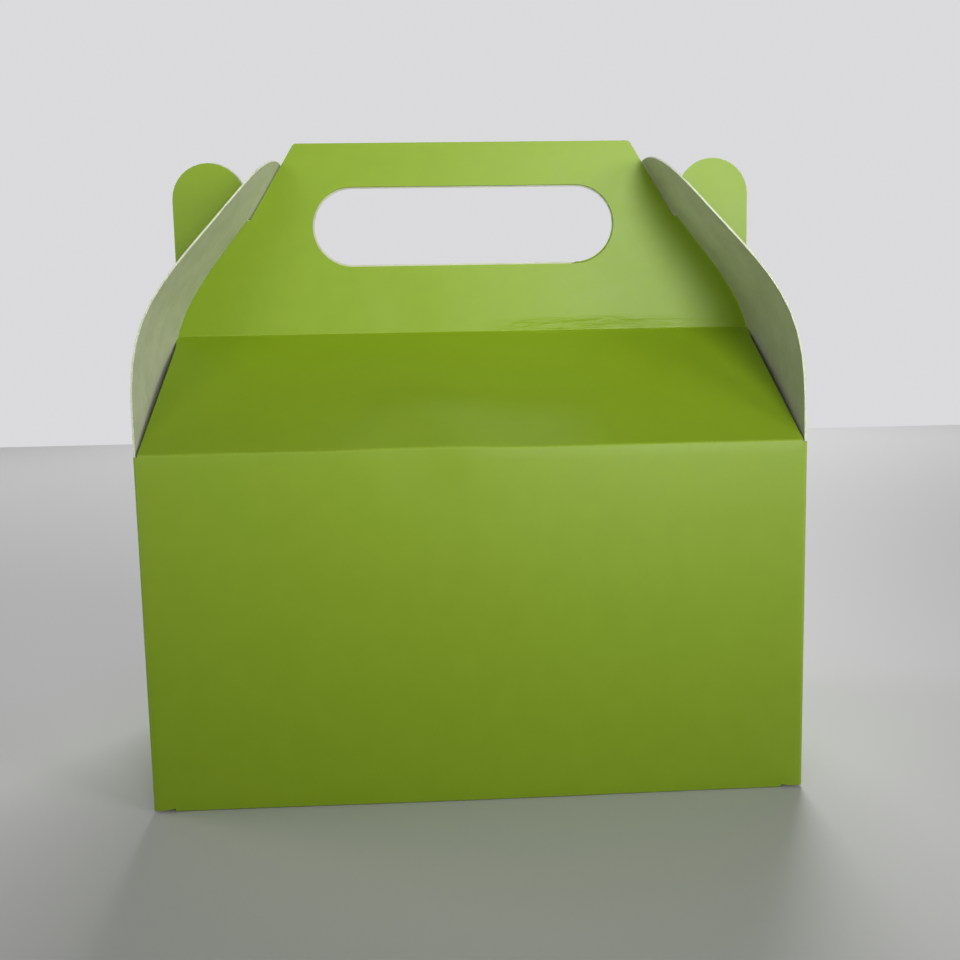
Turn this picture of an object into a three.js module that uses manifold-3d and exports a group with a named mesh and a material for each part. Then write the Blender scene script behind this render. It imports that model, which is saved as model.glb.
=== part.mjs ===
// Gable-top candy box with a carry handle, folded from one die-cut sheet of coated card.
// Millimetres, +Z up. The origin is the centre of the footprint, on the ground, and the front faces -Y.
import * as THREE from 'three';
import { mergeVertices } from 'three/addons/utils/BufferGeometryUtils.js';
import Module from 'manifold-3d';

// Sheet: board thickness, inside radius of a fold, air between layers, cut back beside a corner fold
const CARD = 0.45;
const FOLD_INNER_RADIUS = 0.3;
const LAYER_GAP = 0.12;
const CORNER_RELIEF = 0.3;

// Body, outside
const BODY_WIDTH = 160;
const BODY_DEPTH = 90;
const BODY_HEIGHT = 87;

// Roof and handle panels: the rise from eave to crease, then the upright panel with slanted ends
const ROOF_RISE = 29.1;
const HANDLE_HEIGHT = 51.3;
const HANDLE_CORNER_RADIUS = 1.2;
const SLANT_LEAN = 31.7;

// Hand slot: its height, the land above it, and the land from its end to the notch
const HAND_SLOT_HEIGHT = 21.4;
const HAND_SLOT_TOP_LAND = 11.6;
const HAND_SLOT_END_LAND = 17.4;

// Locking finger at each end of a handle panel, and the notch between it and the slanted end
const FINGER_RADIUS = 9.8;
const FINGER_DROP = 4.9;
const FINGER_LEAN = 5;
const NOTCH_DEPTH = 15.5;
const NOTCH_CLEARANCE = 0.6;

// Ears: side flaps that bow over the handle's ends, with a slit that the fingers pass through
const EAR_TAPER = 15;
const EAR_HINGE_LEAN = -5;
const EAR_CREASE_LEAN = 15;
const EAR_NOTCH_LEAN = 36;
const EAR_TIP_LEAN = 30;
const EAR_TIP_LENGTH = 17;
const EAR_CREASE_CLEARANCE = 0.35;
const SLIT_CLEARANCE = 0.45;
const SLIT_START_MARGIN = 1.5;

// Snap-lock bottom: set-in and taper of the flaps' sides, run over which a flap rises to its layer
const FLAP_SIDE_INSET = 4.2;
const FLAP_RAMP = 3.5;
const FLAP_TAPER = 4;
const FLAP_CORNER_RADIUS = 4;
const TONGUE_WIDTH = 68;
const TONGUE_REACH = 16;
const TONGUE_CLEARANCE = 1.2;
const SHOULDER_SETBACK = 6;
const RECESS_SETBACK = 3;
const LEG_REACH = 12;

// Glue seam at the back left corner
const GLUE_FLAP_WIDTH = 14;
const GLUE_FLAP_CHAMFER = 5;
const GLUE_MARGIN = 2;
const GLUE_BITE = 0.05;
const SEAM_SETBACK = 0.6;

// Fineness of the facets
const FACET_ANGLE = THREE.MathUtils.degToRad(23);
const CHORD_ERROR = 0.05;
const EAR_FACETS = 16;
const SNAP = 1e-3;

// Mid-surface of the sheet, and the heights where the walls end and the flaps begin
const FOLD_RADIUS = FOLD_INNER_RADIUS + CARD / 2;
const HALF_WIDTH = (BODY_WIDTH - CARD) / 2;
const HALF_DEPTH = (BODY_DEPTH - CARD) / 2;
const LAYER = CARD + LAYER_GAP;
const CORNER_SETBACK = FOLD_INNER_RADIUS + CARD + CORNER_RELIEF;
const ROOF_HALF = BODY_WIDTH / 2 - CORNER_SETBACK;
const EAR_HALF = BODY_DEPTH / 2 - CORNER_SETBACK;
const HANDLE_PLANE = LAYER / 2;
const ROOF_RUN = HALF_DEPTH - HANDLE_PLANE;
const ROOF_LEAN = Math.atan2(ROOF_RUN, ROOF_RISE);
const WALL_TOP = BODY_HEIGHT - FOLD_RADIUS * Math.tan(ROOF_LEAN / 2);
const STEEPEST_RAMP = Math.atan2(2 * LAYER, FLAP_RAMP);
const WALL_BOTTOM = CARD / 2 + FOLD_RADIUS * Math.tan((Math.PI / 2 + STEEPEST_RAMP) / 2);
const CREASE_HEIGHT = BODY_HEIGHT + ROOF_RISE;
const HANDLE_TOP = CREASE_HEIGHT + HANDLE_HEIGHT;

const vector = (x, y) => new THREE.Vector2(x, y);
const heading = (angle) => vector(Math.cos(angle), Math.sin(angle));
const turnBetween = (from, to) => Math.atan2(from.cross(to), from.dot(to));

// Direction of an edge that leans in from upright, seen with the inside on the left
const leaning = (degrees) => heading(Math.PI / 2 + THREE.MathUtils.degToRad(degrees));

// A route runs straight from corner to corner, and turns each corner on the radius of a fold
function makeRoute(corners) {
  const route = [];
  let from = 0;
  const addStretch = (start, direction, length, turn) => {
    route.push({ from, start, angle: direction.angle(), length, turn });
    from += length;
  };
  let start = corners[0];
  corners.slice(1).forEach((corner, index) => {
    const next = corners[index + 2];
    const inbound = corner.clone().sub(corners[index]).normalize();
    const outbound = next ? next.clone().sub(corner).normalize() : inbound;
    const turn = turnBetween(inbound, outbound);
    const setback = FOLD_RADIUS * Math.tan(Math.abs(turn) / 2);
    addStretch(start, inbound, start.distanceTo(corner) - setback, 0);
    if (next) {
      const bendStart = corner.clone().addScaledVector(inbound, -setback);
      addStretch(bendStart, inbound, FOLD_RADIUS * Math.abs(turn), turn);
      start = corner.clone().addScaledVector(outbound, setback);
    }
  });
  return route;
}

const bendsOf = (route) => route.filter((stretch) => stretch.turn !== 0);
const lengthOf = (route) => route.at(-1).from + route.at(-1).length;
const endOf = (stretch) => stretch.from + stretch.length;

// Point and direction of travel at a distance along a route
function follow(route, distance) {
  const stretch = route.findLast(({ from }) => from <= distance) ?? route[0];
  const along = distance - stretch.from;
  const turned = (stretch.turn * along) / stretch.length;
  const chord = stretch.turn ? ((2 * stretch.length) / stretch.turn) * Math.sin(turned / 2) : along;
  const point = stretch.start.clone().addScaledVector(heading(stretch.angle + turned / 2), chord);
  return { point, angle: stretch.angle + turned };
}

// Distances along a route at which its bends are scored, one for each facet
const scoresOf = (route) =>
  bendsOf(route).flatMap(({ from, length, turn }) => {
    const facets = Math.ceil(Math.abs(turn) / FACET_ANGLE);
    return Array.from({ length: facets + 1 }, (_, index) => from + (length * index) / facets);
  });

// Outline of one handle panel's right half, as corners with a radius, in width and height
function handleCorners() {
  const notchRadius = CARD / 2 + NOTCH_CLEARANCE;
  const fingerTop = HANDLE_TOP - FINGER_DROP;
  const fingerCentre = vector(ROOF_HALF - FINGER_RADIUS, fingerTop - FINGER_RADIUS);
  const fingerSide = leaning(FINGER_LEAN);
  const acrossSide = vector(-fingerSide.y, fingerSide.x);
  const notch = fingerCentre.clone().addScaledVector(acrossSide, FINGER_RADIUS + notchRadius);
  const notchHeight = fingerTop - NOTCH_DEPTH + notchRadius;
  notch.addScaledVector(fingerSide, (notchHeight - notch.y) / fingerSide.y);

  const openingHalfAngle = THREE.MathUtils.degToRad((SLANT_LEAN - FINGER_LEAN) / 2);
  const middle = leaning((SLANT_LEAN + FINGER_LEAN) / 2);
  const apex = notch.clone().addScaledVector(middle, -notchRadius / Math.sin(openingHalfAngle));
  const upFrom = (direction, height) =>
    apex.clone().addScaledVector(direction, (height - apex.y) / direction.y);
  const fingerInner = upFrom(fingerSide, fingerTop);
  const topCorner = upFrom(leaning(SLANT_LEAN), HANDLE_TOP);
  const corners = [
    [ROOF_HALF, fingerTop, FINGER_RADIUS],
    [fingerInner.x, fingerTop, FINGER_RADIUS],
    [apex.x, apex.y, notchRadius],
    [topCorner.x, HANDLE_TOP, HANDLE_CORNER_RADIUS],
  ];
  return { notch, corners };
}

const handle = handleCorners();

// Curve between two points with the lean that the card has at each
function bow(from, fromLean, to, toLean) {
  const third = from.distanceTo(to) / 3;
  const first = from.clone().addScaledVector(leaning(fromLean), third);
  const second = to.clone().addScaledVector(leaning(toLean), -third);
  return new THREE.CubicBezierCurve(from, first, second, to);
}

// An ear rises from the side wall, clears the end of the crease, enters the notch and lies on the slant
const hinge = vector(0, WALL_TOP);
const besideCrease = vector(ROOF_HALF + EAR_CREASE_CLEARANCE + CARD / 2 - HALF_WIDTH, CREASE_HEIGHT);
const inNotch = vector(handle.notch.x - HALF_WIDTH, handle.notch.y);
const earTip = inNotch.clone().addScaledVector(leaning(SLANT_LEAN), EAR_TIP_LENGTH);
const earCurve = new THREE.CurvePath();
earCurve.add(bow(hinge, EAR_HINGE_LEAN, besideCrease, EAR_CREASE_LEAN));
earCurve.add(bow(besideCrease, EAR_CREASE_LEAN, inNotch, EAR_NOTCH_LEAN));
earCurve.add(bow(inNotch, EAR_NOTCH_LEAN, earTip, EAR_TIP_LEAN));
const [EAR_TO_CREASE, EAR_TO_NOTCH, EAR_LENGTH] = earCurve.getCurveLengths();

function followEar(distance) {
  const share = distance / EAR_LENGTH;
  return { point: earCurve.getPoint(share), angle: earCurve.getTangent(share).angle() };
}

// Profiles of the flaps, as distance out from their wall and height
const layerHeight = (layer) => CARD / 2 + layer * LAYER;
const flapStart = vector(0, WALL_BOTTOM);
const roofRoute = makeRoute([
  hinge,
  vector(0, BODY_HEIGHT),
  vector(-ROOF_RUN, CREASE_HEIGHT),
  vector(-ROOF_RUN, HANDLE_TOP),
]);
const frontFlapRoute = makeRoute([
  flapStart,
  vector(0, layerHeight(0)),
  vector(SHOULDER_SETBACK - HALF_DEPTH, layerHeight(0)),
  vector(-HALF_DEPTH, layerHeight(3)),
  vector(-HALF_DEPTH - TONGUE_REACH, layerHeight(3)),
]);
const dustFlapRoute = makeRoute([
  flapStart,
  vector(0, layerHeight(0)),
  vector(-FLAP_RAMP, layerHeight(1)),
  vector(TONGUE_WIDTH / 2 + TONGUE_CLEARANCE - HALF_WIDTH, layerHeight(1)),
]);
const backFlapRoute = makeRoute([
  flapStart,
  vector(0, layerHeight(0)),
  vector(-FLAP_RAMP, layerHeight(2)),
  vector(-HALF_DEPTH - LEG_REACH, layerHeight(2)),
]);

// Outline of each flap's right half, as corners with a radius, in width and distance from its wall
const heightToDistance = (height) => lengthOf(roofRoute) - (HANDLE_TOP - height);
const handleOutline = [
  [ROOF_HALF, 0, 0],
  ...handle.corners.map(([x, height, radius]) => [x, heightToDistance(height), radius]),
];

const taper = THREE.MathUtils.degToRad(EAR_TAPER);
const earTipRadius = (EAR_HALF * Math.cos(taper) - EAR_LENGTH * Math.sin(taper)) / (1 - Math.sin(taper));
const earOutline = [
  [EAR_HALF, 0, 0],
  [0, EAR_HALF / Math.tan(taper), earTipRadius],
];

const widthInset = FLAP_SIDE_INSET + CORNER_SETBACK;
const shoulderDistance = bendsOf(frontFlapRoute)[1].from;
const frontFlapOutline = [
  [BODY_WIDTH / 2 - widthInset, 0, 0],
  [BODY_WIDTH / 2 - widthInset - FLAP_TAPER, shoulderDistance, FLAP_CORNER_RADIUS],
  [TONGUE_WIDTH / 2, shoulderDistance, CARD],
  [TONGUE_WIDTH / 2, lengthOf(frontFlapRoute), FLAP_CORNER_RADIUS],
];
const dustFlapOutline = [
  [BODY_DEPTH / 2 - widthInset, 0, 0],
  [BODY_DEPTH / 2 - widthInset - FLAP_TAPER, lengthOf(dustFlapRoute), FLAP_CORNER_RADIUS],
];
const recessHalf = TONGUE_WIDTH / 2 + TONGUE_CLEARANCE;
const recessDistance = lengthOf(backFlapRoute) - LEG_REACH - RECESS_SETBACK;
const backFlapOutline = [
  [BODY_WIDTH / 2 - widthInset, 0, 0],
  [BODY_WIDTH / 2 - widthInset - FLAP_TAPER, lengthOf(backFlapRoute), FLAP_CORNER_RADIUS],
  [recessHalf, lengthOf(backFlapRoute), FLAP_CORNER_RADIUS],
  [recessHalf, recessDistance, CARD],
];

// Both halves of an outline, from its right side to its left
const bothHalves = (half) => [
  ...half,
  ...half
    .filter(([across]) => across > 0)
    .map(([across, distance, radius]) => [-across, distance, radius])
    .reverse(),
];

// Corners of a slot with fully round ends
const slotCorners = (left, right, low, high) => {
  const radius = Math.min(right - left, high - low) / 2;
  return [
    [left, low, radius],
    [right, low, radius],
    [right, high, radius],
    [left, high, radius],
  ];
};
const slotTop = heightToDistance(HANDLE_TOP - HAND_SLOT_TOP_LAND);
const slotHalf = handle.notch.x - HAND_SLOT_END_LAND;
const handSlot = slotCorners(-slotHalf, slotHalf, slotTop - HAND_SLOT_HEIGHT, slotTop);
const slitHalf = HANDLE_PLANE + CARD / 2 + SLIT_CLEARANCE;
const earSlit = slotCorners(-slitHalf, slitHalf, EAR_TO_CREASE - SLIT_START_MARGIN, EAR_TO_NOTCH);

// Plan of the walls, from the free edge at the back left round to the glue flap inside that corner
const planRoute = makeRoute([
  vector(-HALF_WIDTH, BODY_DEPTH / 2 - SEAM_SETBACK),
  vector(-HALF_WIDTH, -HALF_DEPTH),
  vector(HALF_WIDTH, -HALF_DEPTH),
  vector(HALF_WIDTH, HALF_DEPTH),
  vector(LAYER - HALF_WIDTH, HALF_DEPTH),
  vector(LAYER - HALF_WIDTH, HALF_DEPTH - GLUE_FLAP_WIDTH),
]);
const [frontLeft, frontRight, backRight, backLeft] = bendsOf(planRoute);

// Each wall with its flaps: the middle of the wall, then profile, outline and opening above and below
const frontAndBack = {
  above: (distance) => follow(roofRoute, distance),
  aboveScores: [0, ...scoresOf(roofRoute), lengthOf(roofRoute)],
  aboveOutline: handleOutline,
  opening: handSlot,
};
const eared = {
  above: followEar,
  aboveScores: Array.from({ length: EAR_FACETS + 1 }, (_, index) => (EAR_LENGTH * index) / EAR_FACETS),
  aboveOutline: earOutline,
  opening: earSlit,
};
const below = (route, outline) => ({
  below: (distance) => follow(route, distance),
  belowScores: [0, ...scoresOf(route), lengthOf(route)],
  belowOutline: outline,
});
const toWallMiddle = HALF_WIDTH - FOLD_RADIUS;
const toSideMiddle = HALF_DEPTH - FOLD_RADIUS;
const walls = [
  {
    middle: frontLeft.from - toSideMiddle,
    half: EAR_HALF,
    ...eared,
    ...below(dustFlapRoute, dustFlapOutline),
  },
  {
    middle: endOf(frontLeft) + toWallMiddle,
    half: ROOF_HALF,
    ...frontAndBack,
    ...below(frontFlapRoute, frontFlapOutline),
  },
  {
    middle: endOf(frontRight) + toSideMiddle,
    half: EAR_HALF,
    ...eared,
    ...below(dustFlapRoute, dustFlapOutline),
  },
  {
    middle: endOf(backRight) + toWallMiddle,
    half: ROOF_HALF,
    ...frontAndBack,
    ...below(backFlapRoute, backFlapOutline),
  },
];

// Points of an outline with its corners rounded, each chord within CHORD_ERROR of its arc
function roundOutline(corners) {
  const points = [];
  corners.forEach(([x, y, radius], index) => {
    const corner = vector(x, y);
    const before = vector(...corners.at(index - 1));
    const after = vector(...corners[(index + 1) % corners.length]);
    const inbound = corner.clone().sub(before).normalize();
    const turn = turnBetween(inbound, after.sub(corner));
    const start = corner.addScaledVector(inbound, -radius * Math.tan(Math.abs(turn) / 2));
    const toCentre = vector(-inbound.y, inbound.x).multiplyScalar(Math.sign(turn) * radius);
    const centre = start.clone().add(toCentre);
    const chords = radius ? Math.ceil(Math.abs(turn) / (2 * Math.acos(1 - CHORD_ERROR / radius))) : 0;
    const arc = Array.from({ length: chords + 1 }, (_, chord) =>
      start.clone().rotateAround(centre, (turn * chord) / Math.max(chords, 1)),
    );
    points.push(...arc.filter((point) => !points.length || point.distanceTo(points.at(-1)) > SNAP));
  });
  return points.at(-1).distanceTo(points[0]) > SNAP ? points : points.slice(0, -1);
}

// Places a corner of a panel above a wall in the flat sheet
const raisedFrom = (middle) => (corner) => {
  const [across, distance, radius] = corner;
  return [middle + across, WALL_TOP + distance, radius];
};

// The flat sheet as it is cut: along the bottom from left to right, the glue flap, and back along the top
function cutSheet() {
  const bottom = walls.flatMap(({ middle, belowOutline }) =>
    bothHalves(belowOutline)
      .map(([across, distance, radius]) => [middle + across, WALL_BOTTOM - distance, radius])
      .reverse(),
  );
  const top = walls.toReversed().flatMap(({ middle, aboveOutline }) =>
    bothHalves(aboveOutline).map(raisedFrom(middle)),
  );
  const glueFlap = [
    [endOf(backLeft), WALL_BOTTOM, 0],
    [lengthOf(planRoute), WALL_BOTTOM + GLUE_FLAP_CHAMFER, 0],
    [lengthOf(planRoute), WALL_TOP - GLUE_FLAP_CHAMFER, 0],
    [endOf(backLeft), WALL_TOP, 0],
  ];
  const shape = new THREE.Shape(
    roundOutline([[0, WALL_TOP, 0], [0, WALL_BOTTOM, 0], ...bottom, ...glueFlap, ...top]),
  );
  shape.holes = walls.map(
    ({ middle, opening }) => new THREE.Path(roundOutline(opening.map(raisedFrom(middle)))),
  );
  const sheet = new THREE.ExtrudeGeometry(shape, { depth: CARD, bevelEnabled: false });
  sheet.translate(0, 0, -CARD / 2);
  return sheet;
}

const wasm = await Module();
wasm.setup();

// Solid from a closed geometry, without the triangles that merging shrinks to a line
function toSolid(geometry) {
  geometry.deleteAttribute('normal');
  geometry.deleteAttribute('uv');
  const merged = mergeVertices(geometry, SNAP);
  const corners = Array.from(merged.index.array);
  const triangles = corners.flatMap((first, index) => {
    if (index % 3) return [];
    const [second, third] = corners.slice(index + 1, index + 3);
    return new Set([first, second, third]).size === 3 ? [first, second, third] : [];
  });
  const mesh = new wasm.Mesh({
    numProp: 3,
    vertProperties: merged.attributes.position.array,
    triVerts: new Uint32Array(triangles),
  });
  return new wasm.Manifold(mesh);
}

// Geometry from a solid
function toGeometry(solid) {
  const { vertProperties, triVerts } = solid.getMesh();
  const geometry = new THREE.BufferGeometry();
  geometry.setAttribute('position', new THREE.BufferAttribute(vertProperties, 3));
  geometry.setIndex(new THREE.BufferAttribute(triVerts, 1));
  return geometry;
}

// Cells of the flat sheet between its score lines, each flat or one facet of a bend
const between = (lines) => lines.slice(1).map((line, index) => [lines[index], line]);
const uprightScores = [0, ...scoresOf(planRoute), lengthOf(planRoute)];
const wallCells = between(uprightScores).map(([left, right]) => ({
  left,
  right,
  low: WALL_BOTTOM,
  high: WALL_TOP,
}));
const flapCells = walls.flatMap((wall) => {
  const reach = wall.half + CORNER_RELIEF;
  const sides = { left: wall.middle - reach, right: wall.middle + reach };
  const above = between(wall.aboveScores).map(([from, to]) => ({
    low: WALL_TOP + from,
    high: WALL_TOP + to,
  }));
  const under = between(wall.belowScores).map(([from, to]) => ({
    low: WALL_BOTTOM - to,
    high: WALL_BOTTOM - from,
  }));
  return [...above, ...under].map((band) => ({ wall, ...sides, ...band }));
});

// Place along the walls of a point of the flat sheet: a flap runs straight on past its wall's ends
function placeAlong(across, wall) {
  if (!wall) return follow(planRoute, across);
  const { point, angle } = follow(planRoute, wall.middle);
  return { point: point.addScaledVector(heading(angle), across - wall.middle), angle };
}

// Carries a point of the flat sheet to its place in the folded box
function foldPoint(flat, wall) {
  const station = placeAlong(flat.x, wall);
  const outward = heading(station.angle - Math.PI / 2);
  let profile = { point: vector(0, flat.y), angle: Math.PI / 2 };
  let insideOnLeft = 1;
  if (wall && flat.y > WALL_TOP) {
    profile = wall.above(flat.y - WALL_TOP);
  } else if (wall && flat.y < WALL_BOTTOM) {
    profile = wall.below(WALL_BOTTOM - flat.y);
    insideOnLeft = -1;
  }
  const face = heading(profile.angle - (insideOnLeft * Math.PI) / 2);
  const out = profile.point.x + flat.z * face.x;
  const height = profile.point.y + flat.z * face.y;
  return new THREE.Vector3(station.point.x + outward.x * out, station.point.y + outward.y * out, height);
}

// One cell cut from the flat sheet and carried to its place
function foldCell(sheet, { left, right, low, high, wall }) {
  const outline = new THREE.BoxGeometry(right - left, high - low, 2 * CARD);
  const cell = sheet.intersect(toSolid(outline.translate((left + right) / 2, (low + high) / 2, 0)));
  const geometry = toGeometry(cell);
  const position = geometry.attributes.position;
  const onto = (lines, value) => lines.find((line) => Math.abs(line - value) < SNAP) ?? value;
  for (let index = 0; index < position.count; index += 1) {
    const flat = new THREE.Vector3().fromBufferAttribute(position, index);
    flat.set(onto([left, right], flat.x), onto([low, high], flat.y), flat.z);
    position.setXYZ(index, ...foldPoint(flat, wall));
  }
  return toSolid(geometry);
}

// The sheet folded cell by cell and joined along its score lines
function foldedSheet() {
  const sheet = toSolid(cutSheet());
  const cells = [...wallCells, ...flapCells].map((cell) => foldCell(sheet, cell));
  return cells.reduce((joined, cell) => joined.add(cell));
}

// Line of glue that holds the glue flap to the inside of the left wall
function glueLine() {
  const thickness = LAYER_GAP + 2 * GLUE_BITE;
  const width = GLUE_FLAP_WIDTH - 2 * FOLD_RADIUS - 2 * GLUE_MARGIN;
  const height = WALL_TOP - WALL_BOTTOM - 2 * GLUE_FLAP_CHAMFER - 2 * GLUE_MARGIN;
  const line = new THREE.BoxGeometry(thickness, width, height);
  const outerFace = CARD - GLUE_BITE - BODY_WIDTH / 2;
  const backEnd = HALF_DEPTH - 2 * FOLD_RADIUS - GLUE_MARGIN;
  const middleHeight = (WALL_TOP + WALL_BOTTOM) / 2;
  return toSolid(line.translate(outerFace + thickness / 2, backEnd - width / 2, middleHeight));
}

const coatedCard = new THREE.MeshStandardMaterial({ color: 0x8fa93c, roughness: 0.42, metalness: 0 });
const carton = new THREE.Mesh(toGeometry(foldedSheet().add(glueLine())), coatedCard);
carton.name = 'folded_carton';

const candyBox = new THREE.Group();
candyBox.add(carton);

export default candyBox;
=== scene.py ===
# A gable-top candy box of coated green card, dressed for rendering.
import math

import bmesh
import bpy
from mathutils import Matrix, Vector


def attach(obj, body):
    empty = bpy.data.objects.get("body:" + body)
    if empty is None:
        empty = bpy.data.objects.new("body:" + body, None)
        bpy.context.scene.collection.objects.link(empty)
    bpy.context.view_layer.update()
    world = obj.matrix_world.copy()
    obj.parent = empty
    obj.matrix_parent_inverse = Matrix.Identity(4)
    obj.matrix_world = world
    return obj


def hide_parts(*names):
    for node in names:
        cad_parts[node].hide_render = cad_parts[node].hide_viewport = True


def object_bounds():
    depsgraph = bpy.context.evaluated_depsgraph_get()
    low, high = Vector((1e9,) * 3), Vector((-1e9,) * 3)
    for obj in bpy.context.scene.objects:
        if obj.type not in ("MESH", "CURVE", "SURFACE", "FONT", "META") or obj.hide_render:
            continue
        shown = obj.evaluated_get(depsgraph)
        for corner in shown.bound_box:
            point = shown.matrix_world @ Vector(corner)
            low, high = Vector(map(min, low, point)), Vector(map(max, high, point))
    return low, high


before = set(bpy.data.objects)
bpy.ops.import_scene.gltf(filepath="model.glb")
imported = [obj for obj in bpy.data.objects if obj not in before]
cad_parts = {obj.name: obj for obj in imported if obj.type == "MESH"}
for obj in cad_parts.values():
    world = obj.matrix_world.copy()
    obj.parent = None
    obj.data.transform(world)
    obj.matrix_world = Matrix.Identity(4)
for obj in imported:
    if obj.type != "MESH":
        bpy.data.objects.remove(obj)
cad_low, cad_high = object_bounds()
MM = 0.001

# Camera: a phone held at the height of the eaves and roof, close in front of the box and a little to its
# left, turned a little to the right and tipped down a few degrees.
LENS_MM = 36.04
SENSOR_MM = 36.0
NEAREST_SEEN = 10 * MM
CAMERA_PLACE = Vector((-9.45, -271.5, 105.0)) * MM
CAMERA_YAW = -0.0457
CAMERA_PITCH = -0.1123
CAMERA_ROLL = 0.0206
LEVEL = math.radians(90)

bpy.ops.object.select_all(action="DESELECT")
bpy.ops.object.camera_add(location=CAMERA_PLACE)
camera = bpy.context.object
camera.name = "camera"
camera.data.lens = LENS_MM
camera.data.sensor_width = SENSOR_MM
camera.data.clip_start = NEAREST_SEEN
turned = Matrix.Rotation(CAMERA_YAW, 3, "Z") @ Matrix.Rotation(CAMERA_PITCH, 3, "X")
turned = turned @ Matrix.Rotation(CAMERA_ROLL, 3, "Y") @ Matrix.Rotation(LEVEL, 3, "X")
camera.rotation_euler = turned.to_euler()
bpy.context.scene.camera = camera

# Floor: a wide pale matt tabletop that the box stands on. What the camera sees of it is paler than what
# lights the box from below, so that the walls keep their own colour near the table.
FLOOR_SIZE = 2.6
PALE_FLOOR = (0.64, 0.64, 0.64)
BOUNCE_FLOOR = (0.34, 0.34, 0.34)
FLOOR_ROUGHNESS = 0.55
MIX_PLAIN = 6
MIX_MARKED = 7
MIX_RESULT = 2


def principled(name, colour, roughness):
    """A new material whose shader has this base colour and roughness."""
    material = bpy.data.materials.new(name)
    material.use_nodes = True
    shader = material.node_tree.nodes["Principled BSDF"]
    shader.inputs["Base Color"].default_value = (*colour, 1)
    shader.inputs["Roughness"].default_value = roughness
    return material, shader


def add_node(tree, kind, values=None, **settings):
    """Adds a node with its settings and the values of its named or numbered inputs."""
    node = tree.nodes.new(kind)
    for name, value in settings.items():
        setattr(node, name, value)
    for socket, value in (values or {}).items():
        node.inputs[socket].default_value = value
    return node


def mix_by(tree, mask, plain, marked):
    """Mixes from a plain colour to a marked one by a mask. Each is a colour or another node's socket."""
    mix = add_node(tree, "ShaderNodeMix", data_type="RGBA")
    tree.links.new(mask, mix.inputs["Factor"])
    for socket, colour in ((mix.inputs[MIX_PLAIN], plain), (mix.inputs[MIX_MARKED], marked)):
        if isinstance(colour, tuple):
            socket.default_value = (*colour, 1)
        else:
            tree.links.new(colour, socket)
    return mix.outputs[MIX_RESULT]


bpy.ops.mesh.primitive_plane_add(size=FLOOR_SIZE, location=(0, 0, 0))
floor = bpy.context.object
floor.name = "floor"
floor_paint, floor_shader = principled("floor_paint", PALE_FLOOR, FLOOR_ROUGHNESS)
floor_tree = floor_paint.node_tree
camera_sees = add_node(floor_tree, "ShaderNodeLightPath").outputs["Is Camera Ray"]
floor_tone = mix_by(floor_tree, camera_sees, BOUNCE_FLOOR, PALE_FLOOR)
floor_tree.links.new(floor_tone, floor_shader.inputs["Base Color"])
floor.data.materials.append(floor_paint)

# Light: a pale room, a soft window above the camera's right, and weak fills that keep the left, the right
# side, the back and the left wall from going dark. The pale background is seen by the camera only.
ROOM_COLOUR = (0.80, 0.80, 0.82, 1)
ROOM_STRENGTH = 0.23
BACKGROUND_STRENGTH = 0.88
NARROW = math.radians(50)
WIDE = math.radians(180)
HANDLE_TOP = Vector((0.02, 0, 0.19))
FRONT_WALL = Vector((0.09, -0.045, 0.035))
BOX_MIDDLE = Vector((0, 0, 0.08))

world = bpy.data.worlds.new("room")
world.use_nodes = True
room = world.node_tree
room_light = room.nodes["Background"]
room_light.inputs["Color"].default_value = ROOM_COLOUR
room_light.inputs["Strength"].default_value = ROOM_STRENGTH
backdrop = add_node(room, "ShaderNodeBackground", {"Color": ROOM_COLOUR, "Strength": BACKGROUND_STRENGTH})
seen = add_node(room, "ShaderNodeLightPath")
choice = add_node(room, "ShaderNodeMixShader")
room.links.new(seen.outputs["Is Camera Ray"], choice.inputs["Fac"])
room.links.new(room_light.outputs["Background"], choice.inputs[1])
room.links.new(backdrop.outputs["Background"], choice.inputs[2])
room.links.new(choice.outputs["Shader"], room.nodes["World Output"].inputs["Surface"])
bpy.context.scene.world = world


def add_soft_light(name, place, size, watts, aim, spread):
    """Adds a square soft light aimed at a place. A narrow spread lights mostly what it is aimed at."""
    bpy.ops.object.light_add(type="AREA", location=place)
    lamp = bpy.context.object
    lamp.name = name
    lamp.data.shape = "SQUARE"
    lamp.data.size = size
    lamp.data.spread = spread
    lamp.visible_camera = False
    lamp.data.energy = watts
    lamp.rotation_euler = (aim - Vector(place)).to_track_quat("-Z", "Y").to_euler()


add_soft_light("window", (0.18, -0.46, 0.215), size=0.22, watts=0.22, aim=HANDLE_TOP, spread=NARROW)
add_soft_light("left_fill", (-0.30, -0.50, 0.22), size=0.28, watts=0.09, aim=HANDLE_TOP, spread=NARROW)
add_soft_light("low_fill", (0.78, -0.56, 0.20), size=0.36, watts=0.30, aim=FRONT_WALL, spread=NARROW)
add_soft_light("back_fill", (0.30, 1.60, 1.30), size=1.20, watts=26.0, aim=HANDLE_TOP, spread=WIDE)
add_soft_light("side_fill", (-1.50, 0.45, 0.42), size=0.80, watts=7.0, aim=BOX_MIDDLE, spread=WIDE)
bpy.context.scene.view_settings.view_transform = "Standard"

# The folded sheet: one die-cut piece of coated card that forms the walls, roof, handle, ears and bottom,
# glued along one corner. The solid already has every fold, slot and slit, so this is a copy of its mesh,
# joined up, with its flat faces merged and then cut by a grid into small faces that can take a bulge.
CARD = 0.45 * MM
GRID = 4 * MM
SAME_POINT = 0.002 * MM
SAME_PLANE = math.radians(0.3)

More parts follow.
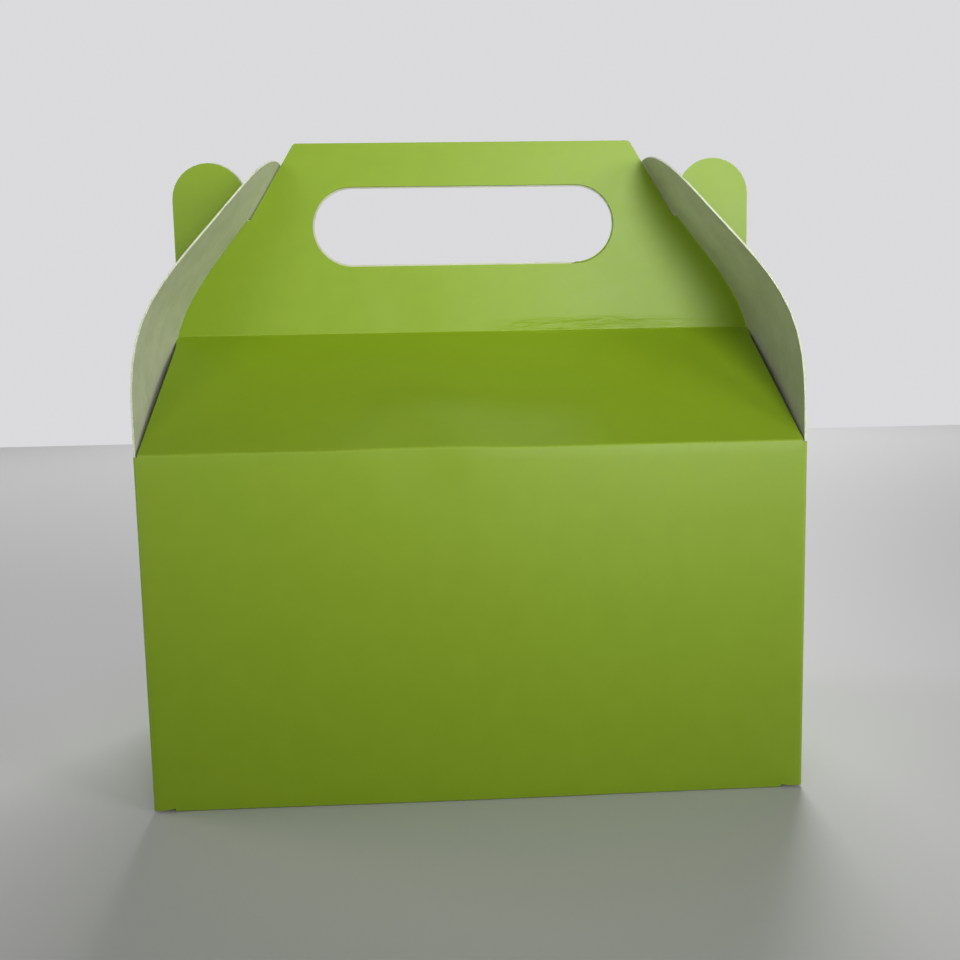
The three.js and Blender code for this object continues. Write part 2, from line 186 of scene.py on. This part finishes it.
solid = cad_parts["folded_carton"]
bpy.ops.object.select_all(action="DESELECT")
carton = bpy.data.objects.new("carton", solid.data.copy())
bpy.context.collection.objects.link(carton)
carton.data.materials.clear()
bpy.context.view_layer.objects.active = carton
carton.select_set(True)
bpy.ops.object.mode_set(mode="EDIT")
bpy.ops.mesh.select_all(action="SELECT")
bpy.ops.mesh.remove_doubles(threshold=SAME_POINT)
bpy.ops.mesh.dissolve_limited(angle_limit=SAME_PLANE)


def bisect_all(low, high, axis):
    """Cuts the whole sheet with planes one grid step apart along an axis."""
    normal = [0, 0, 0]
    normal[axis] = 1
    steps = int((high - low) / GRID)
    for step in range(1, steps + 1):
        place = [0, 0, 0]
        place[axis] = low + (high - low) * step / (steps + 1)
        bpy.ops.mesh.select_all(action="SELECT")
        bpy.ops.mesh.bisect(plane_co=place, plane_no=normal)


for axis in range(3):
    bisect_all(cad_low[axis], cad_high[axis], axis)
bpy.ops.mesh.select_all(action="DESELECT")
bpy.ops.object.mode_set(mode="OBJECT")

# Shape of a card box that has been handled: the walls belly a little, and the eaves, roof and handle have
# soft dents. Each push moves the card near one place a little and falls off along the card around it.
NEAR = 1.3 * MM


def select_points(wanted):
    """Selects every point of the sheet that the test picks, and nothing else."""
    bpy.ops.object.mode_set(mode="EDIT")
    bpy.ops.mesh.select_mode(type="VERT")
    bpy.ops.mesh.select_all(action="DESELECT")
    bpy.ops.object.mode_set(mode="OBJECT")
    for point in carton.data.vertices:
        point.select = wanted(point.co)
    bpy.ops.object.mode_set(mode="EDIT")


def push(place, shift, reach):
    """Pushes the card at a place by a small shift, softly within a reach along the card. All in mm."""
    middle = Vector(place) * MM
    nearest = min((point.co - middle).length for point in carton.data.vertices)
    select_points(lambda co: (co - middle).length < nearest + NEAR)
    bpy.ops.transform.translate(
        value=Vector(shift) * MM,
        use_proportional_edit=True,
        proportional_edit_falloff="SMOOTH",
        proportional_size=reach * MM,
        use_proportional_connected=True,
    )
    bpy.ops.object.mode_set(mode="OBJECT")


# Bellies of the front, back, right and left wall
push((0, -45, 42), shift=(0, -0.9, 0), reach=75)
push((0, 45, 42), shift=(0, 0.9, 0), reach=75)
push((80, 0, 45), shift=(0.7, 0, 0), reach=45)
push((-80, 0, 45), shift=(-0.7, 0, 0), reach=45)

# Dents of the front eave, the back eave, the front and back roof and the front handle panel
push((-14, -44, 88), shift=(0, 0.7, -0.3), reach=16)
push((-12, -40, 91), shift=(0, -0.5, 0.7), reach=22)
push((30, 41, 90), shift=(0, 0.4, 0.5), reach=24)
push((18, -22, 102), shift=(0, 0.25, -0.45), reach=30)
push((-30, 20, 103), shift=(0, -0.2, -0.4), reach=30)
push((-18, -0.4, 124), shift=(0, 0.35, 0), reach=12)
push((48, -0.3, 128), shift=(0, 0.5, 0), reach=26)

# Ends of the handle's crease, pressed against the ears
for side in (-1, 1):
    push((78.95 * side, 0, 116.4), shift=(1.0 * side, 0, -0.2), reach=3)

# Cut ends of the walls beside the bottom flaps, which reach down almost to the table
CORNER_X = 75.85 * MM
CORNER_Y = 40.85 * MM
CUT_END = 1.0 * MM
CUT_END_SHIFT = Vector((0, 0, -0.4)) * MM
select_points(lambda co: abs(co.x) > CORNER_X and abs(co.y) > CORNER_Y and co.z < CUT_END)
bpy.ops.transform.translate(value=CUT_END_SHIFT)
bpy.ops.object.mode_set(mode="OBJECT")

# Back panel of the handle: its hand slot is a hair smaller than the front one's, and its fingers sit a
# little high and to the right, as hand folding leaves them, so a thin line of it shows past the front.
BACK_PANEL = 1.2 * MM
SLOT_LOW = 134.4 * MM
SLOT_HIGH = 155.8 * MM
SLOT_HALF = 41.6 * MM
SLOT_MARGIN = 0.3 * MM
SLOT_MIDDLE = Vector((0, 0, (SLOT_LOW + SLOT_HIGH) / 2))
SLOT_SHRINK = (0.991, 1, 0.964)
SLOT_SHIFT = Vector((0.06, 0, 0.10)) * MM
FINGER_FOOT = 120 * MM
FINGER_INNER = 58 * MM
FINGER_SHIFT = Vector((0.32, 0, 0.25)) * MM
select_points(
    lambda co: 0 < co.y < BACK_PANEL
    and SLOT_LOW - SLOT_MARGIN < co.z < SLOT_HIGH + SLOT_MARGIN
    and abs(co.x) < SLOT_HALF + SLOT_MARGIN
)
bpy.ops.transform.resize(value=SLOT_SHRINK, center_override=SLOT_MIDDLE)
bpy.ops.transform.translate(value=SLOT_SHIFT)
select_points(lambda co: 0 < co.y < BACK_PANEL and co.z > FINGER_FOOT and abs(co.x) > FINGER_INNER)
bpy.ops.transform.translate(value=FINGER_SHIFT)
bpy.ops.mesh.select_all(action="DESELECT")
bpy.ops.object.mode_set(mode="OBJECT")

# Sides of the card: coated green outside, bare board inside, and the pale core along every cut. A side
# runs on across each fold's small facets and ends at the square corner of a cut, so each is one patch.
# The narrow facets of the folds are marked for the lighter fold colour, which is part wear and part
# painted highlight.
OUTSIDE, INSIDE, EDGE = range(3)
CUT_ANGLE = math.radians(50)
FOLD_ANGLE = math.radians(8)
sheet = bmesh.new()
sheet.from_mesh(carton.data)
patches = []
reached = set()
for first in sheet.faces:
    if first in reached:
        continue
    patch = [first]
    reached.add(first)
    for face in patch:
        for edge in face.edges:
            if edge.calc_face_angle(math.pi) > CUT_ANGLE:
                continue
            for beside in edge.link_faces:
                if beside not in reached:
                    reached.add(beside)
                    patch.append(beside)
    patches.append(patch)
patches.sort(key=lambda patch: -sum(face.calc_area() for face in patch))


def looks_outwards(patch):
    """True for the side of the card whose walls face away from the middle of the box."""
    return sum(face.normal.dot(face.calc_center_median()) * face.calc_area() for face in patch) > 0


for face in sheet.faces:
    face.material_index = EDGE
for patch in patches[:2]:
    side = OUTSIDE if looks_outwards(patch) else INSIDE
    for face in patch:
        face.material_index = side
fold_mark = sheet.faces.layers.float.new("fold")
for face in sheet.faces:
    bends = any(FOLD_ANGLE < edge.calc_face_angle(0) < CUT_ANGLE for edge in face.edges)
    width = face.calc_area() / max(edge.calc_length() for edge in face.edges)
    face[fold_mark] = 1.0 if bends and width < CARD else 0.0
sheet.to_mesh(carton.data)
sheet.free()


# Paper fibre, shared by the three sides of the card
def fibre_group():
    """Paper fibre: fine streaks and broad clouds, each put out as a mask round a middle of a half."""
    group = bpy.data.node_groups.new("paper_fibre", "ShaderNodeTree")
    scale = group.interface.new_socket("Scale", in_out="INPUT", socket_type="NodeSocketFloat")
    scale.default_value = 1.0
    group.interface.new_socket("Fibre", in_out="OUTPUT", socket_type="NodeSocketFloat")
    group.interface.new_socket("Cloud", in_out="OUTPUT", socket_type="NodeSocketFloat")
    start = group.nodes.new("NodeGroupInput")
    end = group.nodes.new("NodeGroupOutput")
    place = group.nodes.new("ShaderNodeTexCoord")
    sized = add_node(group, "ShaderNodeVectorMath", operation="SCALE")
    group.links.new(place.outputs["Object"], sized.inputs[0])
    group.links.new(start.outputs["Scale"], sized.inputs["Scale"])
    stretched = add_node(group, "ShaderNodeMapping", {"Scale": (1.0, 1.0, 0.35)})
    group.links.new(sized.outputs["Vector"], stretched.inputs["Vector"])
    streaks = add_node(group, "ShaderNodeTexNoise", {"Scale": 2400, "Detail": 4, "Distortion": 0.6})
    group.links.new(stretched.outputs["Vector"], streaks.inputs["Vector"])
    clouds = add_node(group, "ShaderNodeTexNoise", {"Scale": 170, "Detail": 5, "Roughness": 0.62})
    group.links.new(sized.outputs["Vector"], clouds.inputs["Vector"])
    group.links.new(streaks.outputs["Fac"], end.inputs["Fibre"])
    group.links.new(clouds.outputs["Fac"], end.inputs["Cloud"])
    return group


def add_fibre(tree, scale):
    """Adds the paper fibre to a material, and gives its fibre and cloud masks."""
    node = tree.nodes.new("ShaderNodeGroup")
    node.node_tree = paper_fibre
    node.inputs["Scale"].default_value = scale
    return node.outputs["Fibre"], node.outputs["Cloud"]


def add_relief(tree, shader, height):
    """Feeds a height in millimetres to the shader as a bump."""
    bump = add_node(tree, "ShaderNodeBump", {"Strength": 1.0, "Distance": MM})
    tree.links.new(height, bump.inputs["Height"])
    tree.links.new(bump.outputs["Normal"], shader.inputs["Normal"])


def remap(tree, value, source, target, smooth=False):
    """Maps a value from one range to another and stops at the ends."""
    node = add_node(tree, "ShaderNodeMapRange", interpolation_type="SMOOTHSTEP" if smooth else "LINEAR")
    tree.links.new(value, node.inputs["Value"])
    for socket, number in zip(("From Min", "From Max", "To Min", "To Max"), (*source, *target)):
        node.inputs[socket].default_value = number
    return node.outputs["Result"]


def combine(tree, operation, *values):
    """Joins values by a math operation. Each may be a number or another node's socket."""
    node = add_node(tree, "ShaderNodeMath", operation=operation)
    for socket, value in zip(node.inputs, values):
        if isinstance(value, (int, float)):
            socket.default_value = value
        else:
            tree.links.new(value, socket)
    return node.outputs["Value"]


paper_fibre = fibre_group()

# The coated side: a flat green print under a satin varnish, duller where the card is folded, and lighter
# there with wear and with a painted highlight along the folds.
GREEN = (0.215, 0.335, 0.010)
DEEP_GREEN = (0.206, 0.324, 0.009)
# Lighter fold colour: part wear of the varnish, part painted highlight of light caught on the rounded
# folds
WORN_AND_HIGHLIT_GREEN = (0.330, 0.450, 0.070)
SATIN = 0.44
SATIN_SPECULAR = 0.34
SATIN_RANGE = (0.41, 0.47)
FOLD_DULLNESS = 0.06
FOLD_WEAR_AND_HIGHLIGHT = (0.08, 0.35)
coated, coated_shader = principled("coated_green", GREEN, SATIN)
coated_shader.inputs["Specular IOR Level"].default_value = SATIN_SPECULAR
paint = coated.node_tree
fibre, cloud = add_fibre(paint, scale=1.0)
fold = add_node(paint, "ShaderNodeAttribute", attribute_name="fold").outputs["Fac"]
print_tone = mix_by(paint, remap(paint, cloud, (0.35, 0.65), (0, 1)), DEEP_GREEN, GREEN)
# Lighter green on the fold facets: part wear, part painted highlight along each fold
fold_wear_and_highlight = combine(paint, "MULTIPLY", fold, remap(paint, fibre, (0.35, 0.7), FOLD_WEAR_AND_HIGHLIGHT))
paint.links.new(mix_by(paint, fold_wear_and_highlight, print_tone, WORN_AND_HIGHLIT_GREEN), coated_shader.inputs["Base Color"])
fold_dullness = combine(paint, "MULTIPLY", fold, FOLD_DULLNESS)
dullness = combine(paint, "ADD", remap(paint, cloud, (0.3, 0.7), SATIN_RANGE), fold_dullness)
paint.links.new(dullness, coated_shader.inputs["Roughness"])

# Crinkles in the varnish, in a narrow band above the handle's crease, mostly along its right half
CREASE_HEIGHT = 116.1 * MM
CRINKLE_BAND = 3.0 * MM
HANDLE_FACES = (4 * MM, 7 * MM)
CRINKLE_START = (2 * MM, 24 * MM)
CRINKLE_END = (36 * MM, 66 * MM)
LEFT_STRENGTH = 0.10
END_STRENGTH = 0.3
CRINKLE_TILT = (0, math.radians(5), 0)
CRINKLE_FLATNESS = (1.0, 1.0, 6.0)
place = add_node(paint, "ShaderNodeTexCoord").outputs["Object"]
axes = add_node(paint, "ShaderNodeSeparateXYZ")
paint.links.new(place, axes.inputs["Vector"])
above = combine(paint, "SUBTRACT", axes.outputs["Z"], CREASE_HEIGHT + CRINKLE_BAND / 2)
near_crease = remap(paint, combine(paint, "ABSOLUTE", above), (0, CRINKLE_BAND), (1, 0), smooth=True)
aside = combine(paint, "ABSOLUTE", axes.outputs["Y"])
on_handle = remap(paint, aside, HANDLE_FACES, (1, 0), smooth=True)
near_crease = combine(paint, "MULTIPLY", near_crease, on_handle)
right_half = remap(paint, axes.outputs["X"], CRINKLE_START, (LEFT_STRENGTH, 1), smooth=True)
right_end = remap(paint, axes.outputs["X"], CRINKLE_END, (1, END_STRENGTH), smooth=True)
right_half = combine(paint, "MULTIPLY", right_half, right_end)
tilted = add_node(paint, "ShaderNodeMapping", {"Rotation": CRINKLE_TILT, "Scale": CRINKLE_FLATNESS})
paint.links.new(place, tilted.inputs["Vector"])
ridges = add_node(paint, "ShaderNodeTexNoise", {"Scale": 130, "Detail": 4, "Distortion": 0.9})
paint.links.new(tilted.outputs["Vector"], ridges.inputs["Vector"])
where = combine(paint, "MULTIPLY", near_crease, right_half)
crinkles = combine(paint, "MULTIPLY", where, ridges.outputs["Fac"])

# Relief of the coated side in mm: paper fibre under the varnish, soft unevenness and the crinkles
FIBRE_RELIEF = 0.010
CLOUD_RELIEF = 0.014
CRINKLE_RELIEF = 0.75
fibre_relief = combine(paint, "MULTIPLY", fibre, FIBRE_RELIEF)
cloud_relief = combine(paint, "MULTIPLY", cloud, CLOUD_RELIEF)
crinkle_relief = combine(paint, "MULTIPLY", crinkles, CRINKLE_RELIEF)
relief = combine(paint, "ADD", combine(paint, "ADD", fibre_relief, cloud_relief), crinkle_relief)
add_relief(paint, coated_shader, relief)

# The bare side: uncoated grey-white board, matt, with short fibres and faint brown flecks of recycled
# paper. It shows on the inner face of the ears and past the edges of the front handle panel.
BOARD = (0.46, 0.48, 0.35)
DARK_BOARD = (0.46, 0.48, 0.335)
LIGHT_BOARD = (0.535, 0.555, 0.405)
BROWN_FLECK = (0.36, 0.33, 0.22)
BOARD_ROUGHNESS = 0.85
FLECK_STRENGTH = 0.45
BOARD_RELIEF = 0.05
bare, bare_shader = principled("bare_board", BOARD, BOARD_ROUGHNESS)
pulp = bare.node_tree
fibre, cloud = add_fibre(pulp, scale=0.8)
board_tone = mix_by(pulp, remap(pulp, cloud, (0.32, 0.68), (0, 1)), DARK_BOARD, LIGHT_BOARD)
flecks = remap(pulp, fibre, (0.58, 0.74), (0, FLECK_STRENGTH))
pulp.links.new(mix_by(pulp, flecks, board_tone, BROWN_FLECK), bare_shader.inputs["Base Color"])
add_relief(pulp, bare_shader, combine(pulp, "MULTIPLY", fibre, BOARD_RELIEF))

# The cut edges: the board's pale core, torn fine by the cutting rule. It shows as a light line along every
# outline, slot and slit.
CORE = (0.62, 0.66, 0.50)
DARK_CORE = (0.50, 0.54, 0.38)
LIGHT_CORE = (0.70, 0.73, 0.58)
CORE_ROUGHNESS = 0.9
CORE_RELIEF = 0.08
cut, cut_shader = principled("cut_edge", CORE, CORE_ROUGHNESS)
core = cut.node_tree
fibre, cloud = add_fibre(core, scale=1.6)
edge_tone = mix_by(core, remap(core, fibre, (0.35, 0.65), (0, 1)), DARK_CORE, LIGHT_CORE)
core.links.new(edge_tone, cut_shader.inputs["Base Color"])
add_relief(core, cut_shader, combine(core, "MULTIPLY", fibre, CORE_RELIEF))

# Materials in the order of the sides, and smooth shading across the facets of the folds and ears
SMOOTH_ANGLE = math.radians(25)
for material in (coated, bare, cut):
    carton.data.materials.append(material)
bpy.ops.object.shade_smooth_by_angle(angle=SMOOTH_ANGLE)

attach(carton, "root")
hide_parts("folded_carton")
